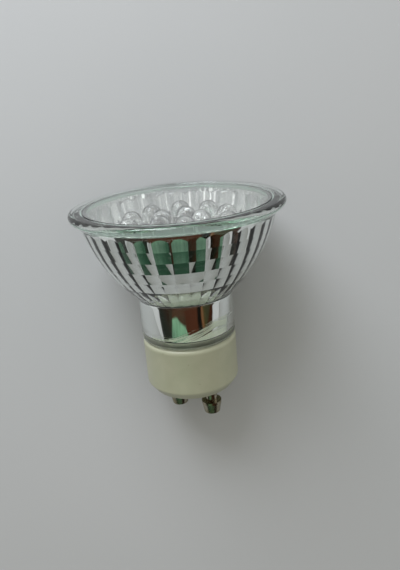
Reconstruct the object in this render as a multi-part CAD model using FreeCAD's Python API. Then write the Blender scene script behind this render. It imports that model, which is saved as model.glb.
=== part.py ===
import FreeCAD, Part
import math
import os

from FreeCAD import Vector

# Reflector lamp with fifteen round LEDs and a twist-lock cap, in millimetres.
# The origin is the middle of the two pins on the cap's end face. +Z runs along the lamp
# to its front lens, and the pins stand on the X axis and point down.

# Rim and front lens
rim_diameter = 50.0
rim_front_z = 46.5
rim_bead_radius = 0.95
rim_root_width = 0.45
lens_diameter = 43.8
lens_thickness = 1.3
lens_recess = 0.1
lens_edge_gap = 0.3
lens_edge_chamfer = 0.2
lens_seat_width = 1.1

# Bowl, whose outside is one arc from the neck up to the flare under the rim
bowl_arc_radius = 36.67
bowl_depth = 22.04
bowl_mouth_diameter = 44.68
bowl_flare_height = 4.5
bowl_wall = 1.75
bowl_floor_angle = 45.0

# Flutes pressed into the bowl's inside
flute_count = 36
flute_depth = 0.125
flute_rows = 4
flute_row_height = 2.65
flute_top_below_front = 6.1
flute_top_slope = 0.32

# Neck and the spigot that stands in the cap
neck_diameter = 23.0
neck_wall = 1.7
neck_bore_bulge = 0.28
neck_fillet = 2.0
neck_edge_round = 0.5
spigot_diameter = 18.5
spigot_wall = 1.65
spigot_end_gap = 1.6
spigot_cone_height = 2.0

# Ceramic cap
cap_diameter = 23.0
cap_height = 13.4
cap_floor = 3.6
cap_wall = 1.65
cap_end_chamfer_width = 1.4
cap_end_chamfer_height = 2.0
cap_edge_round = 0.6
cap_lip_round = 1.1
cement_seam = 0.2

# Twist-lock pins
pin_spacing = 10.0
pin_shank_diameter = 3.0
pin_shank_length = 4.7
pin_head_diameter = 5.0
pin_head_length = 3.2
pin_head_collar = 0.6
pin_tip_diameter = 4.0
pin_tip_round = 0.15
pin_rivet_diameter = 4.4
pin_rivet_height = 0.7
pin_hole_clearance = 0.05

# LED board and its adhesive
led_board_thickness = 1.6
led_board_edge_gap = 0.6
adhesive_spots = 3
adhesive_angle = 30.0
adhesive_height = 1.2

# Round LEDs, with their leads
led_diameter = 5.0
led_length = 8.6
led_flange_diameter = 5.8
led_flange_height = 1.0
led_flat_depth = 0.4
led_standoff = 0.6
led_tip_below_front = 3.5
led_lead_width = 0.5
led_lead_pitch = 2.54
led_lead_below_board = 1.2
led_post_height = 3.0
led_anvil_height = 1.7
led_anvil_width = 1.1
led_anvil_reach = 0.55
led_flag_width = 0.75
led_cup_diameter = 0.9
led_cup_floor_diameter = 0.6
led_cup_depth = 0.4
led_hole_clearance = 0.15
inner_ring_count = 5
inner_ring_radius = 5.2
inner_ring_first_angle = 33.0
outer_ring_count = 10
outer_ring_radius = 12.0
outer_ring_first_angle = 15.0
led_turn_angle = 90.0

# Driver board in the neck
driver_board_width = 14.4
driver_board_thickness = 1.0
driver_board_above_pins = 2.1
driver_board_below_led_board = 2.2
lead_trim = 0.4
lead_hole_clearance = 0.1

# Parts on the driver board
film_width = 10.4
film_height = 12.0
film_depth = 5.8
film_below_board_top = 2.5
film_round = 0.6
film_standoff = 0.1
film_lead_pitch = 7.5
film_lead_diameter = 0.6
can_diameter = 6.3
can_length = 11.0
can_below_board_top = 2.0
can_groove = 0.35
can_groove_from_end = 1.6
can_standoff = 0.15
can_lead_pitch = 2.5
can_lead_diameter = 0.5
can_lead_drop = 2.0
diode_diameter = 2.6
diode_length = 5.0
diode_lead_diameter = 0.7
diode_first_x = 1.6
diode_step_x = 3.0
resistor_diameter = 1.9
resistor_waist = 1.6
resistor_length = 5.2
resistor_end_length = 1.3
resistor_lead_diameter = 0.6
resistor_x = 3.1
axial_above_board_bottom = 1.6
axial_lead_overhang = 0.85
axial_standoff = 0.3

# Sleeve and wires
sleeve_gap = 0.3
sleeve_wall = 0.4
sleeve_foot_gap = 0.04
sleeve_foot_height = 1.7
sleeve_below_led_board = 2.6
mains_wire_diameter = 1.0
mains_wire_lap = 3.1
mains_wire_offset_x = 1.0
mains_wire_first_run = 0.5
mains_wire_bend = 0.7
mains_wire_bend_below_board = 0.25
led_wire_diameter = 0.9
led_wire_x = 1.6
led_wire_lap = 1.3
wire_board_gap = 0.1

# Gap between round faces that touch
fit_gap = 0.02

# Sizes that follow from the ones above
rim_radius = rim_diameter / 2
neck_radius = neck_diameter / 2
spigot_radius = spigot_diameter / 2
cap_radius = cap_diameter / 2
lens_radius = lens_diameter / 2
neck_bore_radius = neck_radius - neck_wall
spigot_bore_radius = spigot_radius - spigot_wall
cap_bore_radius = cap_radius - cap_wall
lens_seat_z = rim_front_z - lens_recess - lens_thickness
band_radius = lens_radius - lens_seat_width
flute_top_row_z = rim_front_z - flute_top_below_front
shoulder_z = cap_height + cement_seam
spigot_bottom_z = cap_floor + spigot_end_gap
neck_bore_bottom_z = shoulder_z + neck_wall
led_tip_z = rim_front_z - led_tip_below_front
led_base_z = led_tip_z - led_length
led_board_top_z = led_base_z - led_standoff
led_board_bottom_z = led_board_top_z - led_board_thickness
pin_top_z = cap_floor + pin_rivet_height
driver_board_bottom_z = pin_top_z + driver_board_above_pins
driver_board_top_z = led_board_bottom_z - driver_board_below_led_board
board_face = driver_board_thickness / 2
film_bottom_z = driver_board_top_z - film_below_board_top - film_height
can_bottom_z = driver_board_top_z - can_below_board_top - can_length
axial_bottom_z = driver_board_bottom_z + axial_above_board_bottom
sleeve_top_z = led_board_bottom_z - sleeve_below_led_board

# Centre of the bowl's arc, on the axis side of the chord from its foot to its mouth
bowl_foot_z = rim_front_z - bowl_depth
bowl_mouth_z = rim_front_z - bowl_flare_height
bowl_mouth_radius = bowl_mouth_diameter / 2
bowl_chord_r = bowl_mouth_radius - neck_radius
bowl_chord_z = bowl_mouth_z - bowl_foot_z
bowl_chord = math.hypot(bowl_chord_r, bowl_chord_z)
bowl_chord_to_centre = math.sqrt(bowl_arc_radius**2 - (bowl_chord / 2) ** 2)
bowl_arc_centre_r = (neck_radius + bowl_mouth_radius) / 2 - bowl_chord_to_centre * bowl_chord_z / bowl_chord
bowl_arc_centre_z = (bowl_foot_z + bowl_mouth_z) / 2 + bowl_chord_to_centre * bowl_chord_r / bowl_chord


def cylinder(radius, bottom_z, top_z, x=0.0, y=0.0):
    return Part.makeCylinder(radius, top_z - bottom_z, Vector(x, y, bottom_z))


def ring(outer_radius, inner_radius, bottom_z, top_z):
    return cylinder(outer_radius, bottom_z, top_z).cut(cylinder(inner_radius, bottom_z, top_z))


def block(low, high):
    size = high.sub(low)
    return Part.makeBox(size.x, size.y, size.z, low)


def rod(start, end, radius):
    along = end.sub(start)
    return Part.makeCylinder(radius, along.Length, start, along)


def in_section(r, z):
    """A point of the half section that is turned about the lamp's axis."""
    return Vector(r, 0.0, z)


def line_edge(first, second):
    return Part.makeLine(first, second)


def arc_edge(first, middle, last):
    return Part.Arc(first, middle, last).toShape()


def turned(edges):
    """The solid that a closed half section sweeps about the Z axis."""
    face = Part.Face(Part.Wire(edges))
    solid = face.revolve(Vector(0, 0, 0), Vector(0, 0, 1), 360)
    return Part.Solid(solid.Shells[0]) if solid.Volume > 0 else Part.Solid(solid.Shells[0].reversed())


def turned_polygon(points):
    closed = points + points[:1]
    return turned([line_edge(a, b) for a, b in zip(closed, closed[1:])])


def arc_middle(centre, first, last):
    """The point halfway along the short arc from first to last about centre."""
    radius = first.sub(centre).Length
    halfway = first.add(last).multiply(0.5).sub(centre)
    return centre.add(halfway.multiply(radius / halfway.Length))


def bowl_radius(z, inset=0.0):
    """The bowl arc's radius at a height, moved in square to its wall by an inset."""
    arc = bowl_arc_radius - inset
    return bowl_arc_centre_r + math.sqrt(arc**2 - (z - bowl_arc_centre_z) ** 2)


def glass_blank():
    """The reflector's outside as a solid: spigot, neck, bowl, flare and rim bead."""
    bowl_centre = in_section(bowl_arc_centre_r, bowl_arc_centre_z)

    # The neck's fillet touches the neck and the bowl arc from outside
    fillet_r = neck_radius + neck_fillet
    reach = bowl_arc_radius + neck_fillet
    fillet_z = bowl_arc_centre_z - math.sqrt(reach**2 - (fillet_r - bowl_arc_centre_r) ** 2)
    fillet_centre = in_section(fillet_r, fillet_z)
    neck_top = in_section(neck_radius, fillet_z)
    to_fillet = fillet_centre.sub(bowl_centre).normalize()
    bowl_start = bowl_centre.add(to_fillet.multiply(bowl_arc_radius))

    # The flare leaves the bowl arc smoothly and ends at the bead's root
    bowl_end = in_section(bowl_mouth_radius, bowl_mouth_z)
    bead_r = rim_radius - rim_bead_radius
    bead_low = in_section(bead_r, rim_front_z - 2 * rim_bead_radius)
    root = in_section(bead_r - rim_root_width, bead_low.z)
    outward = bowl_end.sub(bowl_centre).normalize()
    chord = root.sub(bowl_end)
    flare_radius = chord.Length**2 / (2 * outward.dot(chord))
    flare_centre = bowl_end.add(outward.multiply(flare_radius))

    edge = neck_edge_round
    round_centre = in_section(neck_radius - edge, shoulder_z + edge)
    round_low = in_section(neck_radius - edge, shoulder_z)
    round_high = in_section(neck_radius, shoulder_z + edge)
    axis_low = in_section(0, spigot_bottom_z)
    spigot_low = in_section(spigot_radius, spigot_bottom_z)
    spigot_high = in_section(spigot_radius, shoulder_z)
    bead_high = in_section(bead_r, rim_front_z)
    axis_high = in_section(0, rim_front_z)
    return turned([
        line_edge(axis_low, spigot_low),
        line_edge(spigot_low, spigot_high),
        line_edge(spigot_high, round_low),
        arc_edge(round_low, arc_middle(round_centre, round_low, round_high), round_high),
        line_edge(round_high, neck_top),
        arc_edge(neck_top, arc_middle(fillet_centre, neck_top, bowl_start), bowl_start),
        arc_edge(bowl_start, arc_middle(bowl_centre, bowl_start, bowl_end), bowl_end),
        arc_edge(bowl_end, arc_middle(flare_centre, bowl_end, root), root),
        line_edge(root, bead_low),
        arc_edge(bead_low, in_section(rim_radius, rim_front_z - rim_bead_radius), bead_high),
        line_edge(bead_high, axis_high),
        line_edge(axis_high, axis_low),
    ])


def flute_levels():
    """Height and cusp radius of each ring of flutes, from the bowl's floor up to the lens seat."""
    levels = []
    for row in range(flute_rows, -1, -1):
        z = flute_top_row_z - row * flute_row_height
        levels.append((z, bowl_radius(z, bowl_wall)))
    top_row_radius = levels[-1][1]
    levels.append((lens_seat_z, top_row_radius + (lens_seat_z - flute_top_row_z) * flute_top_slope))
    return levels


def flute_ring(z, cusp_radius, widest_radius):
    """A closed ring of arcs that bulge in towards the axis and meet in cusps."""
    step = 2 * math.pi / flute_count
    depth = flute_depth * cusp_radius / widest_radius
    crest_radius = cusp_radius * math.cos(step / 2) - depth

    def at(radius, angle):
        return Vector(radius * math.cos(angle), radius * math.sin(angle), z)

    arcs = []
    for k in range(flute_count):
        first = at(cusp_radius, k * step)
        crest = at(crest_radius, (k + 0.5) * step)
        last = at(cusp_radius, (k + 1) * step)
        arcs.append(arc_edge(first, crest, last))
    return Part.Wire(arcs)


def fluted_core(clearance=0.0):
    """The bowl's fluted inside as a solid, cut by the smooth band that ends the flutes in arches."""
    levels = flute_levels()
    widest = levels[-1][1]
    rings = [flute_ring(z, radius - clearance, widest) for z, radius in levels]
    flutes = Part.makeLoft(rings, True, True)
    band = cylinder(band_radius - clearance, levels[0][0], lens_seat_z)
    return flutes.common(band)


def crest_radius_at(z):
    """How far the flutes' crests stand from the axis at a height on the bowl."""
    cusp = bowl_radius(z, bowl_wall)
    return cusp * math.cos(math.pi / flute_count) - flute_depth


def reflector_glass():
    recess = cylinder(lens_radius + lens_edge_gap, lens_seat_z, rim_front_z)
    floor_z, floor_radius = flute_levels()[0]
    floor_drop = (floor_radius - neck_bore_radius) * math.tan(math.radians(bowl_floor_angle))
    axis_low = in_section(0, spigot_bottom_z)
    spigot_low = in_section(spigot_bore_radius, spigot_bottom_z)
    spigot_high = in_section(spigot_bore_radius, neck_bore_bottom_z - spigot_cone_height)
    neck_low = in_section(neck_bore_radius, neck_bore_bottom_z)
    neck_high = in_section(neck_bore_radius, floor_z - floor_drop)
    neck_middle = in_section(neck_bore_radius + neck_bore_bulge, (neck_low.z + neck_high.z) / 2)
    floor_edge = in_section(floor_radius, floor_z)
    axis_high = in_section(0, floor_z)
    bore = turned([
        line_edge(axis_low, spigot_low),
        line_edge(spigot_low, spigot_high),
        line_edge(spigot_high, neck_low),
        arc_edge(neck_low, neck_middle, neck_high),
        line_edge(neck_high, floor_edge),
        line_edge(floor_edge, axis_high),
        line_edge(axis_high, axis_low),
    ])
    return glass_blank().cut(fluted_core()).cut(bore).cut(recess)


def front_lens():
    lens = cylinder(lens_radius, lens_seat_z, lens_seat_z + lens_thickness)
    return lens.makeChamfer(lens_edge_chamfer, [e for e in lens.Edges if e.Closed])


def lens_sealant():
    inner = lens_radius + fit_gap
    outer = lens_radius + lens_edge_gap - fit_gap
    top_z = rim_front_z - lens_recess
    crown = in_section((inner + outer) / 2, top_z + lens_recess / 2)
    return turned([
        line_edge(in_section(inner, lens_seat_z), in_section(outer, lens_seat_z)),
        line_edge(in_section(outer, lens_seat_z), in_section(outer, top_z)),
        arc_edge(in_section(outer, top_z), crown, in_section(inner, top_z)),
        line_edge(in_section(inner, top_z), in_section(inner, lens_seat_z)),
    ])


def led_places():
    """Position and turn of each LED: the inner ring first, then the outer."""
    places = []
    rings = (
        (inner_ring_count, inner_ring_radius, inner_ring_first_angle),
        (outer_ring_count, outer_ring_radius, outer_ring_first_angle),
    )
    for count, radius, start in rings:
        for k in range(count):
            angle = start + k * 360 / count
            spoke = math.radians(angle)
            position = Vector(radius * math.cos(spoke), radius * math.sin(spoke), led_base_z)
            places.append((position, angle + led_turn_angle))
    return places


def placed(shape, position, turn):
    moved = shape.copy()
    moved.Placement = FreeCAD.Placement(position, FreeCAD.Rotation(Vector(0, 0, 1), turn))
    return moved


def led_lead_solids():
    """Both lead frames on the LED's own origin: a post with a flag, and one with the chip's cup."""
    half = led_lead_width / 2
    offset = led_lead_pitch / 2
    foot_z = led_board_bottom_z - led_lead_below_board - led_base_z
    top_z = led_post_height + led_anvil_height
    flag_x = -offset - half
    post = block(Vector(-offset - half, -half, foot_z), Vector(-offset + half, half, led_post_height))
    flag = block(Vector(flag_x, -half, led_post_height), Vector(flag_x + led_flag_width, half, top_z))
    anvil_post = block(Vector(offset - half, -half, foot_z), Vector(offset + half, half, led_post_height))
    anvil = block(
        Vector(-led_anvil_reach, -led_anvil_width / 2, led_post_height),
        Vector(offset + half, led_anvil_width / 2, top_z),
    )
    cup_floor = Vector(0, 0, top_z - led_cup_depth)
    cup = Part.makeCone(led_cup_floor_diameter / 2, led_cup_diameter / 2, led_cup_depth, cup_floor)
    return [post.fuse(flag).removeSplitter(), anvil_post.fuse(anvil).removeSplitter().cut(cup)]


def led_lens_solid():
    """The clear body: a flange with a flat, a barrel and a domed tip, hollow around the lead frames."""
    radius = led_diameter / 2
    flange = led_flange_diameter / 2
    dome_z = led_length - radius
    dome_low = in_section(radius, dome_z)
    tip = in_section(0, led_length)
    body = turned([
        line_edge(in_section(0, 0), in_section(flange, 0)),
        line_edge(in_section(flange, 0), in_section(flange, led_flange_height)),
        line_edge(in_section(flange, led_flange_height), in_section(radius, led_flange_height)),
        line_edge(in_section(radius, led_flange_height), dome_low),
        arc_edge(dome_low, arc_middle(in_section(0, dome_z), dome_low, tip), tip),
        line_edge(tip, in_section(0, 0)),
    ])
    flat_x = flange - led_flat_depth
    beyond = block(Vector(flat_x, -flange, 0), Vector(flange, flange, led_flange_height))
    body = body.cut(beyond)
    for lead in led_lead_solids():
        body = body.cut(lead)
    return body


def led_board():
    radius = crest_radius_at(led_board_bottom_z) - led_board_edge_gap
    board = cylinder(radius, led_board_bottom_z, led_board_top_z)
    hole = led_lead_width / 2 + led_hole_clearance
    for position, turn in led_places():
        for side in (-1, 1):
            x = side * led_lead_pitch / 2
            low = Vector(x - hole, -hole, led_board_bottom_z - led_base_z)
            high = Vector(x + hole, hole, led_board_top_z - led_base_z)
            board = board.cut(placed(block(low, high), position, turn))
    return board


def board_adhesive():
    """Spots of silicone between the LED board's edge and the flutes."""
    inner = crest_radius_at(led_board_bottom_z) - led_board_edge_gap + fit_gap
    middle_z = (led_board_bottom_z + led_board_top_z) / 2
    low_z = middle_z - adhesive_height / 2
    high_z = middle_z + adhesive_height / 2
    core = fluted_core(fit_gap)
    hole = cylinder(inner, low_z, high_z)
    spots = []
    for k in range(adhesive_spots):
        sector = Part.makeCylinder(
            band_radius, high_z - low_z, Vector(0, 0, low_z), Vector(0, 0, 1), adhesive_angle
        )
        turn = k * 360 / adhesive_spots + outer_ring_first_angle
        sector.rotate(Vector(0, 0, 0), Vector(0, 0, 1), turn)
        spots.append(sector.common(core).cut(hole))
    return Part.makeCompound([solid for spot in spots for solid in spot.Solids])


def insulating_sleeve():
    """A tube along the neck bore, drawn in at its foot along the glass cone above the spigot."""
    cone_slope = (neck_bore_radius - spigot_bore_radius) / spigot_cone_height
    outer = neck_bore_radius - sleeve_gap
    cone_radius = neck_bore_radius - sleeve_foot_gap
    foot = in_section(cone_radius - sleeve_foot_height * cone_slope, neck_bore_bottom_z - sleeve_foot_height)
    shoulder = in_section(outer, neck_bore_bottom_z - (cone_radius - outer) / cone_slope)
    outside = [foot, shoulder, in_section(outer, sleeve_top_z)]
    inside = [in_section(point.x - sleeve_wall, point.z) for point in reversed(outside)]
    return turned_polygon(outside + inside)


def axial_lead_heights(body_length):
    return (axial_bottom_z - axial_lead_overhang, axial_bottom_z + body_length + axial_lead_overhang)


def diode_columns():
    """The x of each rectifier diode, from the left."""
    right = (diode_first_x, diode_first_x + diode_step_x)
    return [-right[1], -right[0], right[0], right[1]]


def lead_holes():
    """Place and lead radius of every hole in the driver board, as (x, z, radius)."""
    holes = []
    film_z = film_bottom_z + film_height / 2
    can_z = can_bottom_z - can_lead_drop
    for side in (-1, 1):
        holes.append((side * film_lead_pitch / 2, film_z, film_lead_diameter / 2))
        holes.append((side * can_lead_pitch / 2, can_z, can_lead_diameter / 2))
        for z in axial_lead_heights(resistor_length):
            holes.append((side * resistor_x, z, resistor_lead_diameter / 2))
    for x in diode_columns():
        for z in axial_lead_heights(diode_length):
            holes.append((x, z, diode_lead_diameter / 2))
    return holes


def driver_board():
    half = driver_board_width / 2
    board = block(
        Vector(-half, -board_face, driver_board_bottom_z), Vector(half, board_face, driver_board_top_z)
    )
    for x, z, radius in lead_holes():
        start = Vector(x, -board_face, z)
        board = board.cut(rod(start, Vector(x, board_face, z), radius + lead_hole_clearance))
    return board


def bent_lead(start, corner, end, radius):
    """A round lead with one bend."""
    return rod(start, corner, radius).fuse(rod(corner, end, radius)).fuse(Part.makeSphere(radius, corner))


def film_capacitor():
    back_y = -board_face - film_standoff
    half = film_width / 2
    body = block(
        Vector(-half, back_y - film_depth, film_bottom_z), Vector(half, back_y, film_bottom_z + film_height)
    )
    body = body.makeFillet(film_round, [e for e in body.Edges if e.BoundBox.YMax < back_y - film_depth / 2])
    lead_z = film_bottom_z + film_height / 2
    for side in (-1, 1):
        x = side * film_lead_pitch / 2
        lead_end = Vector(x, board_face + lead_trim, lead_z)
        body = body.fuse(rod(Vector(x, back_y, lead_z), lead_end, film_lead_diameter / 2))
    return body


def smoothing_capacitor():
    radius = can_diameter / 2
    y = board_face + can_standoff + radius
    groove_z = can_bottom_z + can_groove_from_end
    groove = Part.makeTorus(radius, can_groove, Vector(0, y, groove_z))
    can = cylinder(radius, can_bottom_z, can_bottom_z + can_length, 0, y).cut(groove)
    lead_z = can_bottom_z - can_lead_drop
    for side in (-1, 1):
        x = side * can_lead_pitch / 2
        can = can.fuse(bent_lead(
            Vector(x, y, can_bottom_z),
            Vector(x, y, lead_z),
            Vector(x, -board_face - lead_trim, lead_z),
            can_lead_diameter / 2,
        ))
    return can


def axial_part(body, x, body_length, radius, lead_radius, side):
    """A turned body beside the driver board, with both its leads bent through the board."""
    y = side * (board_face + axial_standoff + radius)
    end_y = -side * (board_face + lead_trim)
    part = placed(body, Vector(x, y, axial_bottom_z), 0)
    low_z, high_z = axial_lead_heights(body_length)
    for body_z, lead_z in ((axial_bottom_z, low_z), (axial_bottom_z + body_length, high_z)):
        part = part.fuse(bent_lead(
            Vector(x, y, body_z), Vector(x, y, lead_z), Vector(x, end_y, lead_z), lead_radius
        ))
    return part


def rectifier_diode(x):
    body = cylinder(diode_diameter / 2, 0, diode_length)
    return axial_part(body, x, diode_length, diode_diameter / 2, diode_lead_diameter / 2, -1)


def resistor(x):
    """A dog-bone body: two end caps and a narrower waist."""
    radius = resistor_diameter / 2
    body = cylinder(resistor_waist / 2, 0, resistor_length)
    body = body.fuse(cylinder(radius, 0, resistor_end_length))
    body = body.fuse(cylinder(radius, resistor_length - resistor_end_length, resistor_length))
    return axial_part(body, x, resistor_length, radius, resistor_lead_diameter / 2, 1)


def wire_along(points, bend_radius, radius):
    """A round insulated wire along straight runs with a rounded bend at each inner point."""
    edges = []
    start = points[0]
    for before, corner, after in zip(points, points[1:], points[2:]):
        back = before.sub(corner).normalize()
        on = after.sub(corner).normalize()
        half_turn = (math.pi - back.getAngle(on)) / 2
        reach = bend_radius * math.tan(half_turn)
        bend_start = corner.add(Vector(back).multiply(reach))
        bend_end = corner.add(Vector(on).multiply(reach))
        to_centre = back.add(on).normalize().multiply(bend_radius / math.cos(half_turn))
        middle = arc_middle(corner.add(to_centre), bend_start, bend_end)
        edges.append(line_edge(start, bend_start))
        edges.append(arc_edge(bend_start, middle, bend_end))
        start = bend_end
    edges.append(line_edge(start, points[-1]))
    path = Part.Wire(edges)
    circle = Part.Wire(Part.makeCircle(radius, points[0], points[1].sub(points[0])))
    return path.makePipeShell([circle], True, False)


def mains_wire(side):
    """From the top of a pin up to the driver board's lower corner."""
    radius = mains_wire_diameter / 2
    pin_x = side * pin_spacing / 2
    board_x = pin_x + side * mains_wire_offset_x
    board_y = board_face + radius + wire_board_gap
    route = [
        Vector(pin_x, 0, pin_top_z),
        Vector(pin_x, 0, pin_top_z + mains_wire_first_run),
        Vector(board_x, board_y, driver_board_bottom_z - mains_wire_bend_below_board),
        Vector(board_x, board_y, driver_board_bottom_z + mains_wire_lap),
    ]
    return wire_along(route, mains_wire_bend, radius)


def led_wire(side):
    """From the driver board's top edge up to the underside of the LED board."""
    radius = led_wire_diameter / 2
    y = board_face + radius + wire_board_gap
    return cylinder(radius, driver_board_top_z - led_wire_lap, led_board_bottom_z, side * led_wire_x, y)


def ceramic_cap():
    bevel_r = cap_radius - cap_end_chamfer_width
    outside = turned_polygon([
        in_section(0, 0),
        in_section(bevel_r, 0),
        in_section(cap_radius, cap_end_chamfer_height),
        in_section(cap_radius, cap_height),
        in_section(0, cap_height),
    ])
    rings = [e for e in outside.Edges if e.Closed]
    outside = outside.makeFillet(cap_edge_round, [e for e in rings if e.BoundBox.ZMax < cap_height / 2])
    lip = [e for e in outside.Edges if e.Closed and e.BoundBox.ZMin > cap_height / 2]
    outside = outside.makeFillet(cap_lip_round, lip)
    cap = outside.cut(cylinder(cap_bore_radius, cap_floor, cap_height))
    for side in (-1, 1):
        hole = pin_shank_diameter / 2 + pin_hole_clearance
        cap = cap.cut(cylinder(hole, 0, cap_floor, side * pin_spacing / 2))
    return cap


def neck_cement():
    """The cement in the cap around the spigot, and its seam under the neck's shoulder."""
    inner = spigot_radius + fit_gap
    seam_r = cap_radius - cap_lip_round
    wall_r = cap_bore_radius - fit_gap
    return turned_polygon([
        in_section(inner, spigot_bottom_z),
        in_section(wall_r, spigot_bottom_z),
        in_section(wall_r, cap_height),
        in_section(seam_r, cap_height),
        in_section(seam_r, shoulder_z),
        in_section(inner, shoulder_z),
    ])


def contact_pin(side):
    shank = pin_shank_diameter / 2
    head = pin_head_diameter / 2
    tip = pin_tip_diameter / 2
    rivet = pin_rivet_diameter / 2
    tip_z = -pin_shank_length - pin_head_length
    pin = turned_polygon([
        in_section(0, tip_z),
        in_section(tip, tip_z),
        in_section(head, -pin_shank_length - pin_head_collar),
        in_section(head, -pin_shank_length),
        in_section(shank, -pin_shank_length),
        in_section(shank, cap_floor),
        in_section(rivet, cap_floor),
        in_section(rivet, pin_top_z),
        in_section(0, pin_top_z),
    ])
    tip_edges = [e for e in pin.Edges if e.Closed and e.BoundBox.ZMax < tip_z + pin_tip_round]
    pin = pin.makeFillet(pin_tip_round, tip_edges)
    return placed(pin, Vector(side * pin_spacing / 2, 0, 0), 0)


def lamp():
    """Every piece of the lamp, by node name."""
    pieces = {
        "reflector_glass": reflector_glass(),
        "front_lens": front_lens(),
        "lens_sealant": lens_sealant(),
        "led_board": led_board(),
        "board_adhesive": board_adhesive(),
        "insulating_sleeve": insulating_sleeve(),
        "driver_board": driver_board(),
        "film_capacitor": film_capacitor(),
        "smoothing_capacitor": smoothing_capacitor(),
        "bleed_resistor": resistor(-resistor_x),
        "inrush_resistor": resistor(resistor_x),
        "live_wire": mains_wire(1),
        "neutral_wire": mains_wire(-1),
        "led_wire_positive": led_wire(1),
        "led_wire_negative": led_wire(-1),
        "ceramic_cap": ceramic_cap(),
        "neck_cement": neck_cement(),
        "contact_pin_right": contact_pin(1),
        "contact_pin_left": contact_pin(-1),
    }
    for number, x in enumerate(diode_columns(), 1):
        pieces[f"rectifier_diode_{number}"] = rectifier_diode(x)
    lens = led_lens_solid()
    leads = Part.makeCompound(led_lead_solids())
    for number, (position, turn) in enumerate(led_places(), 1):
        pieces[f"led_lens_{number:02d}"] = placed(lens, position, turn)
        pieces[f"led_leads_{number:02d}"] = placed(leads, position, turn)
    return pieces


os.makedirs("parts", exist_ok=True)
for node, shape in lamp().items():
    shape.exportStep(f"parts/{node}.step")
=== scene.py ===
import math

import bmesh
import bpy
from mathutils import Color, Matrix, Vector


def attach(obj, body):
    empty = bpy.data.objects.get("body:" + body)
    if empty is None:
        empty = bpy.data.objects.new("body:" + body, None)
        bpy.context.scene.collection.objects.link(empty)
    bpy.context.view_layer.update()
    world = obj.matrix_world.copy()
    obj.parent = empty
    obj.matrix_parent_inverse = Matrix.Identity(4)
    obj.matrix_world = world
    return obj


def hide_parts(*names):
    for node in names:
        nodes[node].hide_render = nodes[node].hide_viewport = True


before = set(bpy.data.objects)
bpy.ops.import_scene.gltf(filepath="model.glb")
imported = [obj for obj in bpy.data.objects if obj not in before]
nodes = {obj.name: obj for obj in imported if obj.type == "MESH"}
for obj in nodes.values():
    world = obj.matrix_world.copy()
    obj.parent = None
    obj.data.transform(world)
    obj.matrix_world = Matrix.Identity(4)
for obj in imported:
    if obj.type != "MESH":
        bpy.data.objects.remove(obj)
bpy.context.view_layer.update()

# Sizes below are in millimetres, and meshes are made in metres
mm = 0.001

# Photograph: its size, and a pinhole camera fitted to the rim, the cap and the pins
image_width_px = 400
image_height_px = 570
focal_px = 579.6
sensor_mm = 36.0
camera_clip_start = 10.0
rim_in_camera = Vector((-5.344, -19.489, 133.578))
roll = math.radians(4.91)
tilt = math.radians(19.82)
pin_turn = math.radians(-34.7)

# Reflector, as in the part
rim_radius = 25.0
rim_front_z = 46.5
rim_bead_radius = 0.95
rim_root_width = 0.45
rim_inner_round = 0.25
band_radius = 20.55
band_slope = 0.08
bowl_arc_radius = 36.67
bowl_depth = 22.04
bowl_mouth_radius = 22.34
bowl_flare_height = 4.5
bowl_wall = 1.75
flute_count = 36
flute_depth = 0.125
flute_rows = 4
flute_row_height = 2.65
flute_top_below_front = 6.1
flute_top_slope = 0.32
neck_radius = 11.5
neck_bore_radius = 9.8
neck_fillet = 2.0
neck_edge_round = 0.5
shoulder_z = 13.6
neck_bore_bottom_z = 15.3
neck_bore_top_z = 25.44
neck_bore_bulge = 0.28
spigot_radius = 9.25
spigot_bore_radius = 7.6
spigot_bottom_z = 5.2
spigot_bore_top_z = 13.3
bowl_mouth = Vector((bowl_mouth_radius, rim_front_z - bowl_flare_height))
bowl_foot = Vector((neck_radius, rim_front_z - bowl_depth))
flute_top_z = rim_front_z - flute_top_below_front

# Front lens in its recess, as in the part
lens_radius = 21.9
lens_thickness = 1.3
lens_recess = 0.1
lens_edge_gap = 0.3
lens_edge_round = 0.2
lens_seat_gap = 0.02
lens_front_z = rim_front_z - lens_recess
lens_seat_z = lens_front_z - lens_thickness
lens_recess_radius = lens_radius + lens_edge_gap

# How far pieces that stick to the glass reach into it, so that no air lies between
glass_bond = 0.03

# Cement ring, cap and the card tube in the neck, as in the part
cement_outer_radius = 9.83
cement_seam_radius = 10.4
cap_top_z = 13.4
# Painted highlight: the cap is lighter from this height up to its top, along the lip
cap_lip_highlight_z = 12.0
# Painted shade: the cap darkens towards its end by the pins, below these heights
cap_pin_end_shade_low_z = 1.0
cap_pin_end_shade_high_z = 2.6
sleeve_outer_radius = 9.5
sleeve_wall = 0.4
sleeve_foot_z = 9.0
sleeve_top_z = 29.6

# Mirror film: in the bowl up to under the rim, and in the neck down to a hand-cut edge
film_top_z = 44.2
film_bowl_bottom_z = 29.65
film_neck_top_z = 25.1
film_neck_top_ragged = 0.3
film_edge_left = -3.0
film_edge_right = 6.0
film_edge_low_z = 15.9
film_edge_high_z = 19.4
film_edge_ragged = 0.9
film_streaks_reach = 2.6
film_streaks_level = 0.6

# Noise scales per metre: of the torn edge and its streaks, across and along it, and of the neck's top
film_torn_scales = (2600.0, 160.0)
film_streaks_scales = (4200.0, 90.0)
film_frayed_scale = 1300.0

# Round LEDs, as in the part. Each ring has its count, its radius and its first LED's turn in degrees
led_radius = 2.5
led_length = 8.6
led_flange_radius = 2.9
led_flange_height = 1.0
led_flat_x = 2.5
led_base_z = 34.4
led_rings = ((5, 5.2, 33.0), (10, 12.0, 15.0))

# Phosphor in an LED's cup, crowned in steps that are shares of its radius and of its crown
led_chip_z = 4.45
led_chip_radius = 0.4
led_chip_crown = 0.22
led_chip_steps = ((1.0, 0.0), (0.75, 0.6), (0.3, 1.0))

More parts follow.
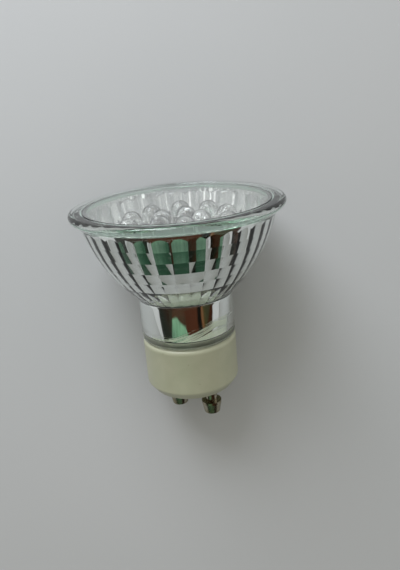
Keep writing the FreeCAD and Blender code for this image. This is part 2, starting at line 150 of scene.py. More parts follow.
# Sealant with a slightly uneven bead. Each wave has its count round the rim, its height and its shift
sealant_waves = ((7, 0.03, 0.4), (19, 0.02, 1.9), (43, 0.012, 0.7))
sealant_blob_angle = math.radians(150)
sealant_blob_width = math.radians(2.2)
sealant_blob_height = 0.35
sealant_below_lens = 0.4
sealant_edge_drop = 0.08

# Mesh steps
steps_per_flute = 12
reflector_steps = flute_count * steps_per_flute
steps_round = 96
led_steps = 40
arc_steps = 8
bowl_steps = 20

# Table under the lamp, touching its rim and its cap, as points of radius and height
table_rim_touch = Vector((25.0, 45.55))
table_cap_touch = Vector((11.5, 2.0))
table_half_width = 420.0
table_above = 420.0
table_below = 560.0
table_mirrored_toward = Vector((-0.7, -0.7, 0))
table_mirrored_reach = 120.0


# Camera axes in the object's frame
right_in_camera = Vector((math.cos(roll), -math.sin(roll), 0))
up_in_camera = -Vector((
    math.sin(roll) * math.cos(tilt),
    math.cos(roll) * math.cos(tilt),
    math.sin(tilt),
))
away_in_camera = up_in_camera.cross(right_in_camera)
right_axis = Vector((math.cos(pin_turn), -math.sin(pin_turn), 0))
away_axis = Vector((math.sin(pin_turn), math.cos(pin_turn), 0))
up_axis = Vector((0, 0, 1))


def from_camera(direction):
    """A direction given as right, down and forward in the photograph, in the object's frame."""
    return (
        right_axis * direction.dot(right_in_camera)
        + away_axis * direction.dot(away_in_camera)
        + up_axis * direction.dot(up_in_camera)
    )


image_right = from_camera(Vector((1, 0, 0)))
image_down = from_camera(Vector((0, 1, 0)))
to_camera = from_camera(Vector((0, 0, -1)))
rim_centre = up_axis * rim_front_z
lamp_middle = rim_centre / 2
camera_place = (rim_centre - from_camera(rim_in_camera)) * mm


# Mesh helpers
def new_object(name, bm, materials):
    mesh = bpy.data.meshes.new(name)
    bm.to_mesh(mesh)
    bm.free()
    for material in materials:
        mesh.materials.append(material)
    made = bpy.data.objects.new(name, mesh)
    bpy.context.scene.collection.objects.link(made)
    return made


def piece(name, bm, materials, replaced=()):
    """A finished piece of the lamp that rides on its one body."""
    bmesh.ops.recalc_face_normals(bm, faces=bm.faces)
    made = new_object(name, bm, materials)
    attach(made, "root")
    for node in replaced:
        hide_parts(node)


def wrapped(angle):
    """The same angle between minus and plus half a turn."""
    return (angle + math.pi) % (2 * math.pi) - math.pi


def arc(centre, start, end, steps):
    """Points of the short arc from start to end about centre, with both ends."""
    radius = (start - centre).length
    first = math.atan2(start.y - centre.y, start.x - centre.x)
    last = math.atan2(end.y - centre.y, end.x - centre.x)
    turn = wrapped(last - first)
    points = []
    for k in range(steps + 1):
        angle = first + turn * k / steps
        points.append(centre + Vector((math.cos(angle), math.sin(angle))) * radius)
    return points


def with_next(ring):
    """Each member of a ring beside the one that follows it."""
    return zip(ring, ring[1:] + ring[:1])


def add_rows(bm, rows, closed=False, place=Matrix.Identity(4)):
    """Joins rows of (radius, height) by quads around the axis. Returns the vertices of each row."""
    count = len(rows[0])
    made = []
    for row in rows:
        ring = []
        for k, (radius, height) in enumerate(row):
            angle = 2 * math.pi * k / count
            at = Vector((radius * math.cos(angle), radius * math.sin(angle), height))
            ring.append(bm.verts.new(place @ at * mm))
        made.append(ring)
    pairs = with_next(made) if closed else zip(made, made[1:])
    for lower, upper in pairs:
        for k in range(count):
            following = (k + 1) % count
            face = bm.faces.new((lower[k], lower[following], upper[following], upper[k]))
            face.smooth = True
    return made


def round_rows(profile, count):
    """Rows with the same radius and height at every angle."""
    return [[(point.x, point.y)] * count for point in profile]


def sharpen(first, second):
    """Keeps the edge between two vertices crisp."""
    for edge in first.link_edges:
        if edge.other_vert(first) is second:
            edge.smooth = False


def sharpen_rings(rings):
    for ring in rings:
        for first, second in with_next(ring):
            sharpen(first, second)


def crisp_ring(name, profile, material, node):
    """A closed ring with crisp edges that stands for a node."""
    bm = bmesh.new()
    sharpen_rings(add_rows(bm, round_rows(profile, steps_round), closed=True))
    piece(name, bm, [material], [node])


# Sockets of the Mix node that carry colours
mix_first = 6
mix_second = 7
mix_result = 2

# Span that noise seldom leaves, and a tighter one for stronger patches
noise_span = (0.3, 0.7)
noise_tight_span = (0.35, 0.65)


# Material helpers
def new_material(name):
    material = bpy.data.materials.new(name)
    material.use_nodes = True
    return material, material.node_tree, material.node_tree.nodes["Principled BSDF"]


def set_inputs(tree, node, values):
    """Puts a value or a link on each named input."""
    for name, value in values.items():
        if isinstance(value, bpy.types.NodeSocket):
            tree.links.new(value, node.inputs[name])
        else:
            node.inputs[name].default_value = value


def add_node(tree, kind, values=None, **settings):
    made = tree.nodes.new(kind)
    for name, value in settings.items():
        setattr(made, name, value)
    set_inputs(tree, made, values or {})
    return made


def object_point(tree):
    return add_node(tree, "ShaderNodeTexCoord").outputs["Object"]


def height_of(tree, point):
    return add_node(tree, "ShaderNodeSeparateXYZ", {"Vector": point}).outputs["Z"]


def noise(tree, scale, detail=4.0, point=None):
    values = {"Vector": point or object_point(tree), "Scale": scale, "Detail": detail}
    return add_node(tree, "ShaderNodeTexNoise", values).outputs["Fac"]


def wave(tree, point, axis, scale, distortion, detail):
    """Fine lines across an axis."""
    values = {"Vector": point, "Scale": scale, "Distortion": distortion, "Detail": detail}
    return add_node(tree, "ShaderNodeTexWave", values, bands_direction=axis).outputs["Fac"]


def ranged(tree, value, low, high, to_low, to_high, smooth=False):
    """Value remapped from low..high to to_low..to_high."""
    kind = "SMOOTHSTEP" if smooth else "LINEAR"
    values = {"Value": value, "From Min": low, "From Max": high, "To Min": to_low, "To Max": to_high}
    return add_node(tree, "ShaderNodeMapRange", values, interpolation_type=kind).outputs["Result"]


def share(tree, value, low, high, smooth=False):
    """How far value has come from low to high, from 0 to 1."""
    return ranged(tree, value, low, high, 0.0, 1.0, smooth)


def between(tree, factor, low, high):
    """A value that goes from low to high as factor goes from 0 to 1."""
    return ranged(tree, factor, 0.0, 1.0, low, high)


def patches(tree, scale, detail=4.0, span=noise_span):
    """Noise spread out to run from 0 to 1."""
    return share(tree, noise(tree, scale, detail), *span)


def haze(tree, scale, span, rough, detail=4.0):
    """Roughness from the first of rough to the second, as noise goes through its span."""
    return ranged(tree, noise(tree, scale, detail), *span, *rough)


def calculated(tree, operation, *values):
    made = add_node(tree, "ShaderNodeMath", dict(enumerate(values)), operation=operation)
    return made.outputs["Value"]


def stretched_noise(tree, first, second, scales, layer):
    """Noise over two values, each at its own scale. Each layer has its own pattern."""
    values = {
        "X": calculated(tree, "MULTIPLY", first, scales[0]),
        "Y": calculated(tree, "MULTIPLY", second, scales[1]),
        "Z": layer,
    }
    point = add_node(tree, "ShaderNodeCombineXYZ", values).outputs["Vector"]
    return noise(tree, 1.0, point=point)


def scaled(tree, vector, factor):
    made = add_node(tree, "ShaderNodeVectorMath", {0: vector, "Scale": factor}, operation="SCALE")
    return made.outputs["Vector"]


def dot(tree, vector, constant):
    made = add_node(tree, "ShaderNodeVectorMath", {0: vector, 1: constant}, operation="DOT_PRODUCT")
    return made.outputs["Value"]


def mixed(tree, factor, first, second):
    """A colour between first and second."""
    values = {"Factor": factor, mix_first: first, mix_second: second}
    return add_node(tree, "ShaderNodeMix", values, data_type="RGBA").outputs[mix_result]


def ramp(tree, value, stops):
    """A colour that runs through (place, colour) stops."""
    made = add_node(tree, "ShaderNodeValToRGB", {"Fac": value})
    elements = made.color_ramp.elements
    for element, (place, shown) in zip(elements, (stops[0], stops[-1])):
        element.position = place
        element.color = (*shown, 1.0)
    for place, shown in stops[1:-1]:
        elements.new(place).color = (*shown, 1.0)
    return made.outputs["Color"]


def bump(tree, shader, height, strength, depth):
    values = {"Height": height, "Strength": strength, "Distance": depth * mm}
    made = add_node(tree, "ShaderNodeBump", values)
    set_inputs(tree, shader, {"Normal": made.outputs["Normal"]})


def colour(red, green, blue):
    """A colour from the three 0 to 255 values that a screen shows."""
    shown = Color((red / 255, green / 255, blue / 255))
    return (*shown.from_srgb_to_scene_linear(), 1.0)


def tones(tree, factor, first, second):
    """A colour between two that are given as a screen shows them."""
    return mixed(tree, factor, colour(*first), colour(*second))


# Pressed glass: clear, faintly green where it is thick
glass_colour = (0.97, 0.99, 0.98, 1.0)
glass_tint = (0.82, 0.93, 0.87, 1.0)
glass_density = 16.0
glass_ior = 1.51
film_colour = (0.88, 0.89, 0.88, 1.0)


def absorb(tree):
    """Light that the glass takes up on its way through."""
    volume = add_node(tree, "ShaderNodeVolumeAbsorption", {"Color": glass_tint, "Density": glass_density})
    set_inputs(tree, tree.nodes["Material Output"], {"Volume": volume.outputs["Volume"]})


def pressed_glass():
    material, tree, shader = new_material("pressed_glass")
    set_inputs(tree, shader, {
        "Base Color": glass_colour,
        "Transmission Weight": 1.0,
        "IOR": glass_ior,
        "Roughness": haze(tree, 900.0, span=(0.45, 0.8), rough=(0.0, 0.06)),
    })
    bump(tree, shader, noise(tree, 160.0, detail=1.0), strength=0.25, depth=0.05)
    absorb(tree)
    return material


def ragged(tree, value, reach):
    """Noise as a distance of up to reach to either side."""
    return ranged(tree, value, *noise_tight_span, -reach * mm, reach * mm)


def film_mask(tree):
    """1 where the silver film lies: in the bowl, and in the neck down to its torn, streaked edge."""
    point = object_point(tree)
    height = height_of(tree, point)
    across = dot(tree, point, right_axis)
    edge = ranged(
        tree, across,
        film_edge_left * mm, film_edge_right * mm,
        film_edge_low_z * mm, film_edge_high_z * mm,
    )
    past_edge = calculated(tree, "SUBTRACT", height, edge)
    strokes = stretched_noise(tree, past_edge, across, film_torn_scales, layer=0.0)
    torn = ragged(tree, strokes, film_edge_ragged)
    frayed = ragged(tree, noise(tree, film_frayed_scale), film_neck_top_ragged)
    streaks = stretched_noise(tree, past_edge, across, film_streaks_scales, layer=1.0)
    streaked = calculated(
        tree, "MULTIPLY",
        calculated(tree, "GREATER_THAN", streaks, film_streaks_level),
        calculated(tree, "GREATER_THAN", past_edge, -film_streaks_reach * mm),
    )
    neck_low = calculated(tree, "MAXIMUM", streaked, calculated(tree, "GREATER_THAN", past_edge, torn))
    frayed_height = calculated(tree, "ADD", height, frayed)
    neck_high = calculated(tree, "LESS_THAN", frayed_height, film_neck_top_z * mm)
    bowl_low = calculated(tree, "GREATER_THAN", height, film_bowl_bottom_z * mm)
    bowl_high = calculated(tree, "LESS_THAN", height, film_top_z * mm)
    neck = calculated(tree, "MULTIPLY", neck_low, neck_high)
    bowl = calculated(tree, "MULTIPLY", bowl_low, bowl_high)
    return calculated(tree, "MAXIMUM", neck, bowl)


def mirrored_glass():
    """Bare glass, with the silver film wherever the mask says."""
    material, tree, shader = new_material("mirrored_glass")
    film = film_mask(tree)
    set_inputs(tree, shader, {
        "Metallic": film,
        "Base Color": mixed(tree, film, glass_colour, film_colour),
        "Transmission Weight": 1.0,
        "IOR": glass_ior,
        "Roughness": haze(tree, 700.0, span=(0.4, 0.8), rough=(0.01, 0.08)),
    })
    bump(tree, shader, noise(tree, 140.0, detail=1.0), strength=0.3, depth=0.06)
    absorb(tree)
    return material


def lens_glass():
    """Flat glass with faint smears."""
    material, tree, shader = new_material("lens_glass")
    set_inputs(tree, shader, {
        "Base Color": (0.98, 0.99, 0.985, 1.0),
        "Transmission Weight": 1.0,
        "IOR": 1.5,
        "Roughness": haze(tree, 220.0, span=(0.5, 0.8), rough=(0.0, 0.08), detail=6.0),
    })
    absorb(tree)
    return material


def clear_silicone():
    """Milky sealant with a dimpled skin."""
    material, tree, shader = new_material("clear_silicone")
    set_inputs(tree, shader, {
        "Base Color": (0.84, 1.0, 0.91, 1.0),
        "Transmission Weight": 0.25,
        "IOR": 1.41,
        "Roughness": haze(tree, 1500.0, span=noise_span, rough=(0.12, 0.35)),
    })
    bump(tree, shader, noise(tree, 900.0), strength=0.4, depth=0.05)
    return material


def clear_epoxy():
    """Clear LED body, slightly wavy as it left its mould."""
    material, tree, shader = new_material("clear_epoxy")
    set_inputs(tree, shader, {
        "Base Color": (0.98, 0.985, 0.98, 1.0),
        "Transmission Weight": 1.0,
        "IOR": 1.53,
        "Roughness": haze(tree, 1200.0, span=(0.4, 0.8), rough=(0.0, 0.1)),
    })
    bump(tree, shader, noise(tree, 400.0, detail=2.0), strength=0.15, depth=0.03)
    return material


def phosphor():
    """Yellow powder in resin."""
    material, tree, shader = new_material("phosphor")
    grain = patches(tree, 6000.0)
    set_inputs(tree, shader, {
        "Base Color": tones(tree, grain, (235, 214, 96), (246, 232, 150)),
        "Roughness": 0.6,
    })
    bump(tree, shader, grain, strength=0.2, depth=0.02)
    return material


def lead_frame():
    """Tinned steel, dull in patches."""
    material, tree, shader = new_material("lead_frame")
    dull = patches(tree, 900.0)
    set_inputs(tree, shader, {
        "Base Color": tones(tree, dull, (196, 196, 190), (224, 223, 218)),
        "Metallic": 1.0,
        "Roughness": between(tree, dull, 0.22, 0.4),
    })
    bump(tree, shader, noise(tree, 3000.0), strength=0.2, depth=0.02)
    return material


def board(name, first, second):
    """Glass-fibre board: a faint weave under the lacquer."""
    material, tree, shader = new_material(name)
    point = object_point(tree)
    warp = wave(tree, point, "X", scale=900.0, distortion=0.4, detail=1.0)
    weft = wave(tree, point, "Y", scale=900.0, distortion=0.4, detail=1.0)
    weave = calculated(tree, "MULTIPLY", warp, weft)
    set_inputs(tree, shader, {
        "Base Color": tones(tree, patches(tree, 250.0), first, second),
        "Roughness": between(tree, weave, 0.3, 0.42),
    })
    bump(tree, shader, weave, strength=0.2, depth=0.03)
    return material


def plastic(name, first, second, gloss=0.4, matt=0.52):
    """Moulded or drawn plastic: slight mottling and a fine grain."""
    material, tree, shader = new_material(name)
    mottle = patches(tree, 500.0, span=noise_tight_span)
    set_inputs(tree, shader, {
        "Base Color": tones(tree, mottle, first, second),
        "Roughness": between(tree, mottle, gloss, matt),
    })
    bump(tree, shader, noise(tree, 2500.0), strength=0.25, depth=0.02)
    return material


# Specks in the steatite: where their noise peaks, and how strong they are at most
speck_span = (0.76, 0.8)
speck_strength = 0.5


def ceramic():
    """Steatite: cream and satin, with faint mottling, pores and specks, a painted highlight along the lip
    and painted shade at the end by the pins.
    """
    material, tree, shader = new_material("steatite")
    mottle = patches(tree, 180.0, detail=5.0, span=noise_tight_span)
    body = tones(tree, mottle, (173, 176, 149), (181, 183, 157))
    height = height_of(tree, object_point(tree))
    # Painted highlight along the lip, lighter towards the cap's top
    lip_highlight = share(tree, height, cap_lip_highlight_z * mm, cap_top_z * mm, smooth=True)
    body = mixed(tree, lip_highlight, body, colour(210, 213, 186))
    # Painted shade on the cap's end by the pins, darker towards the bottom
    pin_end_shade = ranged(tree, height, cap_pin_end_shade_low_z * mm, cap_pin_end_shade_high_z * mm, 1.0, 0.0, smooth=True)
    body = mixed(tree, pin_end_shade, body, colour(152, 154, 128))
    specks = ranged(tree, noise(tree, 1100.0, detail=1.0), *speck_span, 0.0, speck_strength)
    set_inputs(tree, shader, {
        "Base Color": mixed(tree, specks, body, colour(112, 108, 84)),
        "Roughness": between(tree, mottle, 0.34, 0.46),
        "Coat Weight": 0.35,
        "Coat Roughness": 0.25,
    })
    pores = noise(tree, 2600.0, detail=3.0)
    bump(tree, shader, pores, strength=0.3, depth=0.02)
    return material


def cement():
    """Dry and grainy."""
    material, tree, shader = new_material("cement")
    grain = patches(tree, 1600.0, detail=6.0)
    set_inputs(tree, shader, {
        "Base Color": tones(tree, grain, (196, 199, 178), (212, 214, 196)),
        "Roughness": between(tree, grain, 0.65, 0.85),
    })
    bump(tree, shader, grain, strength=0.6, depth=0.08)
    return material


def nickel():
    """Nickel-plated brass with fine turning marks around it."""
    material, tree, shader = new_material("nickel")
    marks = wave(tree, object_point(tree), "Z", scale=1700.0, distortion=0.6, detail=2.0)
    tarnish = patches(tree, 700.0, span=(0.35, 0.7))
    set_inputs(tree, shader, {
        "Base Color": tones(tree, tarnish, (168, 163, 146), (140, 131, 104)),
        "Metallic": 1.0,
        "Roughness": between(tree, tarnish, 0.16, 0.3),
    })
    bump(tree, shader, marks, strength=0.25, depth=0.01)
    return material


def mirrored_ray(tree):
    """1 for rays that glass or metal sent on."""
    ray = add_node(tree, "ShaderNodeLightPath").outputs
    return calculated(tree, "MAXIMUM", ray["Is Glossy Ray"], ray["Is Transmission Ray"])


def table_paper():
    """The pale table top, open to rays from behind, and to mirrored rays past its far left edge."""
    material, tree, shader = new_material("table_paper")
    set_inputs(tree, shader, {
        "Base Color": tones(tree, patches(tree, 9.0, detail=3.0), (184, 187, 187), (188, 190, 190)),
        "Roughness": 0.75,
    })
    bump(tree, shader, noise(tree, 1200.0, detail=3.0), strength=0.12, depth=0.03)
    behind = add_node(tree, "ShaderNodeNewGeometry").outputs["Backfacing"]
    reach = dot(tree, object_point(tree), from_camera(table_mirrored_toward).normalized())
    past = calculated(tree, "GREATER_THAN", reach, table_mirrored_reach * mm)
    past = calculated(tree, "MULTIPLY", past, mirrored_ray(tree))
    open_to_ray = calculated(tree, "MAXIMUM", behind, past)
    clear = add_node(tree, "ShaderNodeBsdfTransparent").outputs["BSDF"]
    values = {0: open_to_ray, 1: shader.outputs["BSDF"], 2: clear}
    choice = add_node(tree, "ShaderNodeMixShader", values)
    set_inputs(tree, tree.nodes["Material Output"], {"Surface": choice.outputs["Shader"]})
    return material


# Reflector
def flute_radius(angle, cusp_radius, depth):
    """Radius of the fluted ring: arcs that bulge in towards the axis and meet in cusps."""
    half = math.pi / flute_count
    off_middle = angle % (2 * half) - half
    crest = cusp_radius * math.cos(half) - depth
    arc_radius = ((cusp_radius * math.sin(half)) ** 2 + depth**2) / (2 * depth)
    centre = crest + arc_radius
    off_centre = centre * math.sin(off_middle)
    return centre * math.cos(off_middle) - math.sqrt(arc_radius**2 - off_centre**2)


def bowl_centre():
    """Centre of the bowl's arc, on the axis side of the chord from its foot to its mouth."""
    chord = bowl_mouth - bowl_foot
    to_centre = math.sqrt(bowl_arc_radius**2 - (chord.length / 2) ** 2)
    inward = Vector((-chord.y, chord.x)).normalized()
    return (bowl_foot + bowl_mouth) / 2 + inward * to_centre


def outside_profile(centre):
    """The reflector's outside from the lens recess over the rim down to the spigot's end."""
    inner_low = Vector((lens_recess_radius, rim_front_z - rim_inner_round))
    inner_high = Vector((lens_recess_radius + rim_inner_round, rim_front_z))
    bead_centre = Vector((rim_radius - rim_bead_radius, rim_front_z - rim_bead_radius))
    bead_high = bead_centre + Vector((0, rim_bead_radius))
    bead_low = bead_centre - Vector((0, rim_bead_radius))
    bead_side = bead_centre + Vector((rim_bead_radius, 0))
    root = bead_low - Vector((rim_root_width, 0))
    outward = (bowl_mouth - centre).normalized()
    chord = root - bowl_mouth
    flare_centre = bowl_mouth + outward * (chord.length_squared / (2 * outward.dot(chord)))

    from_axis = neck_radius + neck_fillet
    reach = bowl_arc_radius + neck_fillet
    fillet_centre = Vector((from_axis, centre.y - math.sqrt(reach**2 - (from_axis - centre.x) ** 2)))
    neck_top = Vector((neck_radius, fillet_centre.y))
    bowl_end = centre + (fillet_centre - centre).normalized() * bowl_arc_radius
    edge_centre = Vector((neck_radius - neck_edge_round, shoulder_z + neck_edge_round))
    edge_high = edge_centre + Vector((neck_edge_round, 0))
    edge_low = edge_centre - Vector((0, neck_edge_round))

    profile = arc(Vector((inner_high.x, inner_low.y)), inner_low, inner_high, arc_steps // 2)
    profile += arc(bead_centre, bead_high, bead_side, arc_steps)
    profile += arc(bead_centre, bead_side, bead_low, arc_steps)[1:]
    profile += arc(flare_centre, root, bowl_mouth, arc_steps)
    profile += arc(centre, bowl_mouth, bowl_end, bowl_steps)[1:]
    profile += arc(fillet_centre, bowl_end, neck_top, arc_steps)[1:]
    profile += arc(edge_centre, edge_high, edge_low, arc_steps // 2)
    profile += [Vector((spigot_radius, shoulder_z)), Vector((spigot_radius, spigot_bottom_z))]
    return profile


def neck_bore():
    """The neck's inside from its foot up, widest halfway."""
    bore = []
    for k in range(arc_steps + 1):
        rise = k / arc_steps
        bulge = 4 * neck_bore_bulge * rise * (1 - rise)
        height = neck_bore_bottom_z + rise * (neck_bore_top_z - neck_bore_bottom_z)
        bore.append(Vector((neck_bore_radius + bulge, height)))
    return bore


def fluted_rows(centre):
    """The fluted rows from the lowest up. The last runs on to the lens seat, and the arches cut it."""

    def wall_radius(z):
        reach = bowl_arc_radius - bowl_wall
        return centre.x + math.sqrt(reach**2 - (z - centre.y) ** 2)

    levels = []
    for row in range(flute_rows, -1, -1):
        z = flute_top_z - row * flute_row_height
        levels.append((z, wall_radius(z)))
    widest = wall_radius(flute_top_z) + (lens_seat_z - flute_top_z) * flute_top_slope
    levels.append((lens_seat_z, widest))
    angles = [2 * math.pi * k / reflector_steps for k in range(reflector_steps)]
    rows = []
    for z, cusp in levels:
        depth = flute_depth * cusp / widest
        rows.append([(flute_radius(angle, cusp, depth), z) for angle in angles])
    return rows


def arch_row(lower, upper):
    """Where the flutes' top row ends in arches, because it meets the smooth band."""
    arches = []
    for (radius, z), (upper_radius, upper_z) in zip(lower, upper):
        rise = upper_z - z
        spread = upper_radius - radius
        part = (band_radius - radius) / (spread - band_slope * rise)
        arches.append((radius + part * spread, z + part * rise))
    return arches


def reflector(glass, mirror):
    """The pressed reflector as one closed skin, with its film on the inside faces."""
    count = reflector_steps
    centre = bowl_centre()
    spigot_bore = [
        Vector((spigot_bore_radius, spigot_bottom_z)),
        Vector((spigot_bore_radius, spigot_bore_top_z)),
    ]
    bore = spigot_bore + neck_bore()
    fluted = fluted_rows(centre)
    seat = [
        Vector((band_radius + band_slope * (lens_seat_z - flute_top_z), lens_seat_z)),
        Vector((lens_recess_radius, lens_seat_z)),
    ]
    rows = round_rows(bore, count) + fluted[:-1]
    rows.append(arch_row(fluted[-2], fluted[-1]))
    rows += round_rows(seat + outside_profile(centre), count)

    bm = bmesh.new()
    rings = add_rows(bm, rows, closed=True)
    neck_foot = len(spigot_bore)
    first_flute = len(bore)
    arches = first_flute + len(fluted) - 1
    sharpen_rings(rings[:neck_foot + 1])
    sharpen_rings(rings[first_flute - 1:arches + len(seat) + 1])
    sharpen_rings(rings[-2:])
    for lower, upper in zip(rings[first_flute:arches], rings[first_flute + 1:arches + 1]):
        for k in range(0, count, steps_per_flute):
            sharpen(lower[k], upper[k])

    # Faces from the neck bore's foot up to the lens seat carry the film
    bm.faces.ensure_lookup_table()
    for index in range(neck_foot * count, (arches + 1) * count):
        bm.faces[index].material_index = 1
    piece("pressed_reflector", bm, [glass, mirror], ["reflector_glass"])


def front_lens(glass):
    edge = lens_edge_round
    bottom_centre = Vector((lens_radius - edge, lens_seat_z + lens_seat_gap + edge))
    top_centre = Vector((lens_radius - edge, lens_front_z - edge))
    side = Vector((edge, 0))
    lift = Vector((0, edge))
    profile = arc(bottom_centre, bottom_centre - lift, bottom_centre + side, arc_steps // 2)
    profile += arc(top_centre, top_centre + side, top_centre + lift, arc_steps // 2)
    bm = bmesh.new()
    rings = add_rows(bm, round_rows(profile, 2 * steps_round))
    bm.faces.new(rings[0])
    bm.faces.new(rings[-1])
    sharpen_rings([rings[0], rings[-1]])
    piece("clear_front_lens", bm, [glass], ["front_lens"])


def cement_ring(material):
    """Set against the glass with no air between, so the glass shows its colour."""
    inner = spigot_radius - glass_bond
    profile = [
        Vector((inner, spigot_bottom_z)),
        Vector((cement_outer_radius, spigot_bottom_z)),
        Vector((cement_outer_radius, cap_top_z)),
        Vector((cement_seam_radius, cap_top_z)),
        Vector((cement_seam_radius, shoulder_z + glass_bond)),
        Vector((inner, shoulder_z + glass_bond)),
    ]
    crisp_ring("cement_ring", profile, material, "neck_cement")


def card_sleeve(material):
    """The tube between the silvered neck and the driver, with its foot stuck to the glass cone."""
    cone_slope = (neck_bore_radius - spigot_bore_radius) / (neck_bore_bottom_z - spigot_bore_top_z)
    stuck_radius = spigot_bore_radius + glass_bond
    shoulder_height = spigot_bore_top_z + (sleeve_outer_radius - stuck_radius) / cone_slope
    outside = [
        Vector((stuck_radius, sleeve_foot_z)),
        Vector((stuck_radius, spigot_bore_top_z)),
        Vector((sleeve_outer_radius, shoulder_height)),
        Vector((sleeve_outer_radius, sleeve_top_z)),
    ]
    wall = Vector((sleeve_wall, 0))
    profile = outside + [point - wall for point in reversed(outside)]
    crisp_ring("card_sleeve", profile, material, "insulating_sleeve")


# LEDs
def led_places():
    """Where each LED stands, and its turn: the inner ring first, then the outer."""
    places = []
    for count, radius, start in led_rings:
        for k in range(count):
            angle = math.radians(start + k * 360 / count)
            spot = Vector((radius * math.cos(angle), radius * math.sin(angle), led_base_z))
            places.append(Matrix.Translation(spot) @ Matrix.Rotation(angle + math.pi / 2, 4, "Z"))
    return places


def led_body(number, place, epoxy):
    """A round LED with its domed tip up. Its flange is cut to the flat."""
    dome_z = led_length - led_radius
    dome_centre = Vector((0, dome_z))
    flange = [Vector((led_flange_radius, 0)), Vector((led_flange_radius, led_flange_height))]
    barrel = [Vector((led_radius, led_flange_height)), Vector((led_radius, dome_z))]
    dome = arc(dome_centre, barrel[-1], Vector((0, led_length)), arc_steps)[1:-1]
    bm = bmesh.new()
    rings = add_rows(bm, round_rows(flange + barrel + dome, led_steps))
    for ring in rings[:len(flange)]:
        for vertex in ring:
            vertex.co.x = min(vertex.co.x, led_flat_x * mm)
    tip = bm.verts.new(Vector((0, 0, led_length)) * mm)
    for first, second in with_next(rings[-1]):
        bm.faces.new((first, second, tip)).smooth = True
    bm.faces.new(rings[0])
    sharpen_rings(rings[:len(flange) + 1])
    bm.transform(Matrix.Translation(place.translation * mm) @ place.to_3x3().to_4x4())
    piece(f"led_body_{number:02d}", bm, [epoxy], [f"led_lens_{number:02d}"])


def led_chips(places, material):
    """The yellow phosphor that fills each LED's cup."""
    crown = []
    for width, rise in led_chip_steps:
        crown.append(Vector((width * led_chip_radius, led_chip_z + rise * led_chip_crown)))
    bm = bmesh.new()
    for place in places:
        rings = add_rows(bm, round_rows(crown, led_steps // 2), place=place)
        bm.faces.new(rings[0])
        bm.faces.new(rings[-1]).smooth = True
    piece("led_chips", bm, [material])


def sealant(material):
    """The bead between the lens and the rim."""
    low_z = lens_seat_z - glass_bond
    inner = lens_radius - glass_bond
    outer = lens_recess_radius + glass_bond
    count = 4 * steps_round
    rows = [[], [], [], []]
    for k in range(count):
        angle = 2 * math.pi * k / count
        crown_z = lens_front_z - sealant_below_lens
        for waves, height, shift in sealant_waves:
            crown_z += height * math.sin(waves * angle + shift)
        off_blob = wrapped(angle - sealant_blob_angle)
        crown_z += sealant_blob_height * math.exp(-((off_blob / sealant_blob_width) ** 2))
        corners = ((inner, low_z), (outer, low_z), (outer, crown_z - sealant_edge_drop), (inner, crown_z))
        for row, corner in zip(rows, corners):
            row.append(corner)
    bm = bmesh.new()
    add_rows(bm, rows, closed=True)
    piece("silicone_bead", bm, [material], ["lens_sealant"])


def dress(starts, material):
    """Gives a finished material to the CAD nodes whose names start with one of starts."""
    for name, node in nodes.items():
        if name.startswith(starts):
            for slot in node.material_slots:
                slot.material = material


def table(material):
    """The flat table top that the lamp's rim and cap lie on."""
    rise = table_rim_touch - table_cap_touch
    along = (away_axis * rise.x + up_axis * rise.y).normalized()
    start = away_axis * table_cap_touch.x + up_axis * table_cap_touch.y
    corners = []
    for side, reach in ((-1, -table_below), (1, -table_below), (1, table_above), (-1, table_above)):
        corners.append(start + right_axis * side * table_half_width + along * reach)
    bm = bmesh.new()
    face = bm.faces.new([bm.verts.new(corner * mm) for corner in corners])
    face.normal_update()
    if face.normal.dot(to_camera) < 0:
        face.normal_flip()
    made = new_object("table_top", bm, [material])


# Light: a pale warm room, and one large soft window beyond the photograph's top left corner
world_light = (0.475, 0.465, 0.43, 1.0)
window_power = 1.37
window_colour = (0.96, 0.985, 1.06)
window_size = 230.0
window_distance = 420.0
window_toward = from_camera(Vector((-0.38, -0.82, -0.68))).normalized()
backdrop = (0.46, 0.47, 0.47, 1.0)

# Cloth that glass and metal see, by over: how far a direction leans towards the camera
green_by_over = (
    (0.0, (0.02, 0.05, 0.03)),
    (0.15, (0.035, 0.082, 0.05)),
    (0.3, (0.095, 0.165, 0.115)),
    (0.6, (0.17, 0.33, 0.2)),
    (0.7, (0.18, 0.34, 0.21)),
    (0.74, (0.045, 0.018, 0.01)),
)
shade_by_over = (
    (0.0, (0.015, 0.017, 0.013)),
    (0.3, (0.02, 0.023, 0.018)),
    (0.6, (0.03, 0.016, 0.01)),
)
far_brown_by_over = (
    (0.0, (0.006, 0.006, 0.004)),
    (0.06, (0.008, 0.007, 0.004)),
    (0.14, (0.025, 0.01, 0.005)),
    (0.36, (0.04, 0.014, 0.007)),
)

# Cloth near the camera, by across: how far a direction leans to the photograph's right
near_brown_by_across = (
    (0.0, (0.06, 0.022, 0.012)),
    (0.44, (0.07, 0.025, 0.013)),
    (0.5, (0.008, 0.007, 0.005)),
    (0.6, (0.008, 0.007, 0.005)),
    (0.64, (0.2, 0.09, 0.04)),
    (0.7, (0.05, 0.045, 0.018)),
    (0.8, (0.04, 0.04, 0.02)),
)

# Borders of the cloth and in it: their place across, and how far they move over their lean span
cloth_left = (-0.48, -0.6)
cloth_right = (0.57, 0.4)
shade_right = (-0.56, 0.0)
brown_left = (0.38, -0.42)
border_half_width = 0.015
outline_lean_span = (-0.2, 0.3)
inner_lean_span = (0.3, 0.7)
near_brown_span = (0.36, 0.44)
green_below_span = (0.55, 0.59)
cloth_top_span = (0.05, 0.12)
cloth_top_lean_span = (0.1, 0.4)
cloth_top_lean = 0.5
wander_scale = 3.0
wander = 0.02
fold_scales = (14.0, 2.0)
fold_light = (0.75, 1.3)

